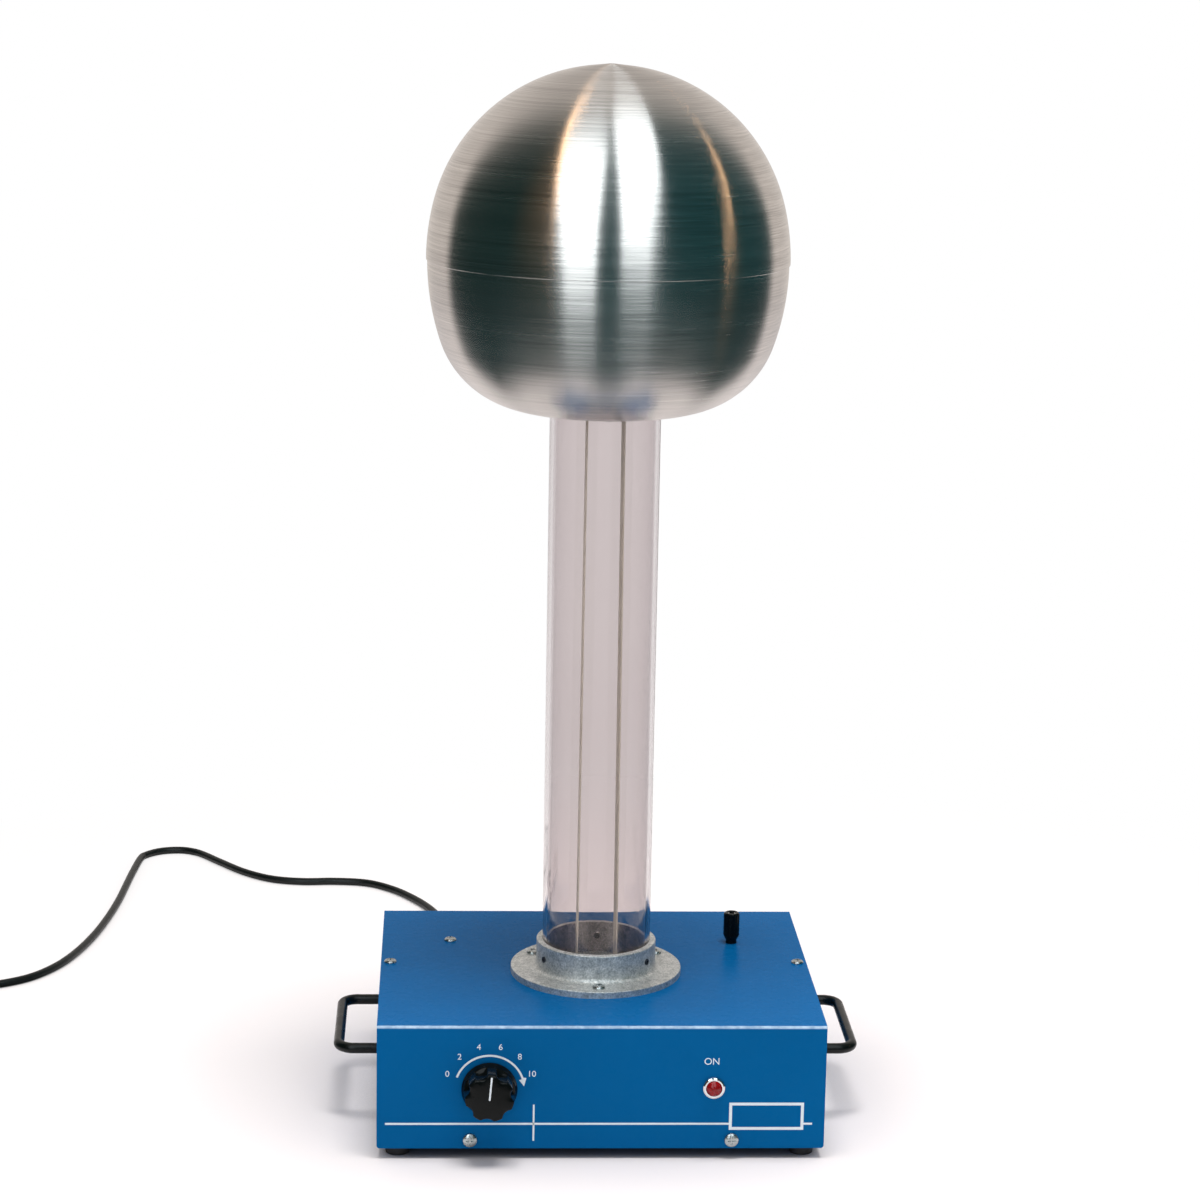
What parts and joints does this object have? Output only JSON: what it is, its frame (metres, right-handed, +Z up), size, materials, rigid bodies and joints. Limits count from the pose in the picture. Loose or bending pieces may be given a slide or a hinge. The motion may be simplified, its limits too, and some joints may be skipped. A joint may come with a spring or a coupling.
{
  "type": "electrostatic generator",
  "caption": "Belt-driven electrostatic generator: round spun metal terminal on a clear tube over a sheet steel motor box with speed knob, lamp, binding post, handles and mains lead.",
  "frame": {"origin": "on the table plane, under the middle of the box", "axes": "+Z up along the column, -Y is the front panel, +X is the viewer's right"},
  "size_m": [0.7682, 0.7322, 0.7314],
  "materials": {
    "blue_paint": "smooth semi-gloss blue enamel",
    "rubber": "moulded black rubber",
    "black_paint": "black powder coat",
    "plated_steel": "zinc plated steel",
    "cast_aluminium": "sand cast, rough, edges turned",
    "dark_steel": "dark oxide steel",
    "clear_acrylic": "polished clear tube with a faint pink tint",
    "belt_rubber": "pale matt belt",
    "spun_aluminium": "spun, with fine rings",
    "machined_aluminium": "turned",
    "ground_steel": "ground steel",
    "white_nylon": "natural nylon",
    "brass": "bright brass",
    "motor_paint": "grey painted steel",
    "lamination_steel": "stacked sheet steel",
    "copper": "enamelled copper",
    "carbon": "carbon in a black holder",
    "bronze": "sintered bronze",
    "black_phenolic": "glossy black moulding",
    "chrome": "polished",
    "red_lens": "clear red",
    "cord_jacket": "black flexible jacket",
    "moulded_rubber": "black moulding"
  },
  "bodies": {
    "base": {"base_cover": "blue_paint", "base_chassis": "blue_paint", "rubber_feet": "rubber", "foot_screws": "plated_steel", "left_handle": "black_paint", "right_handle": "black_paint", "handle_screws": "plated_steel", "cover_screws": "plated_steel", "top_screws": "plated_steel", "tube_flange": "cast_aluminium", "flange_screws": "plated_steel", "flange_nuts": "plated_steel", "collar_screws": "dark_steel", "column_tube": "clear_acrylic", "charge_belt": "belt_rubber", "seat_ring": "machined_aluminium", "seat_ring_screws": "dark_steel", "seat_screws": "ground_steel", "terminal_lower_shell": "spun_aluminium", "upper_axle": "ground_steel", "axle_spacers": "white_nylon", "upper_comb": "brass", "lower_comb": "brass", "comb_screws": "plated_steel", "motor_housing": "motor_paint", "motor_rear_cap": "motor_paint", "field_stack": "lamination_steel", "field_coils": "copper", "carbon_brushes": "carbon", "motor_bracket": "plated_steel", "motor_mount_screws": "plated_steel", "shaft_pedestal": "cast_aluminium", "pedestal_bush": "bronze", "speed_control_body": "black_phenolic", "speed_control_nut": "plated_steel", "lamp_bezel": "chrome", "lamp_lens": "red_lens", "lamp_nut": "plated_steel", "ground_post_stud": "chrome", "ground_post_collar": "black_phenolic", "ground_post_nut": "plated_steel", "lead_clip": "white_nylon", "inner_lead": "cord_jacket", "strain_relief": "moulded_rubber", "power_cord": "cord_jacket", "cord_coil": "cord_jacket", "plug_body": "moulded_rubber", "plug_pins": "brass"},
    "terminal_top": {"terminal_upper_shell": "spun_aluminium"},
    "drive_rotor": {"motor_shaft": "ground_steel", "armature": "lamination_steel", "commutator": "copper", "drive_roller": "white_nylon"},
    "idler": {"idler_roller": "white_nylon", "idler_bearings": "plated_steel"},
    "speed_control": {"speed_knob": "black_phenolic", "control_shaft": "ground_steel", "knob_set_screw": "dark_steel"},
    "ground_cap": {"ground_post_cap": "black_phenolic"}
  },
  "joints": [
    {"name": "terminal_lift", "type": "slide", "parent": "base", "child": "terminal_top", "axis": [0, 0, 1], "range_m": [0, 0.16]},
    {"name": "drive_spin", "type": "hinge", "parent": "base", "child": "drive_rotor", "pos_m": [0, -0.0115, 0.0455], "axis": [0, 1, 0], "continuous": true},
    {"name": "idler_spin", "type": "hinge", "parent": "base", "child": "idler", "pos_m": [0, -0.0115, 0.5909], "axis": [0, 1, 0], "continuous": true},
    {"name": "speed_turn", "type": "hinge", "parent": "base", "child": "speed_control", "pos_m": [-0.0762, -0.127, 0.0505], "axis": [0, 1, 0], "range_deg": [-155, 145]},
    {"name": "ground_cap_lift", "type": "slide", "parent": "base", "child": "ground_cap", "axis": [0, 0, 1], "range_m": [0, 0.005]}
  ],
  "couplings": [
    {"joint": "idler_spin", "follows": "drive_spin", "ratio": 1.122}
  ]
}
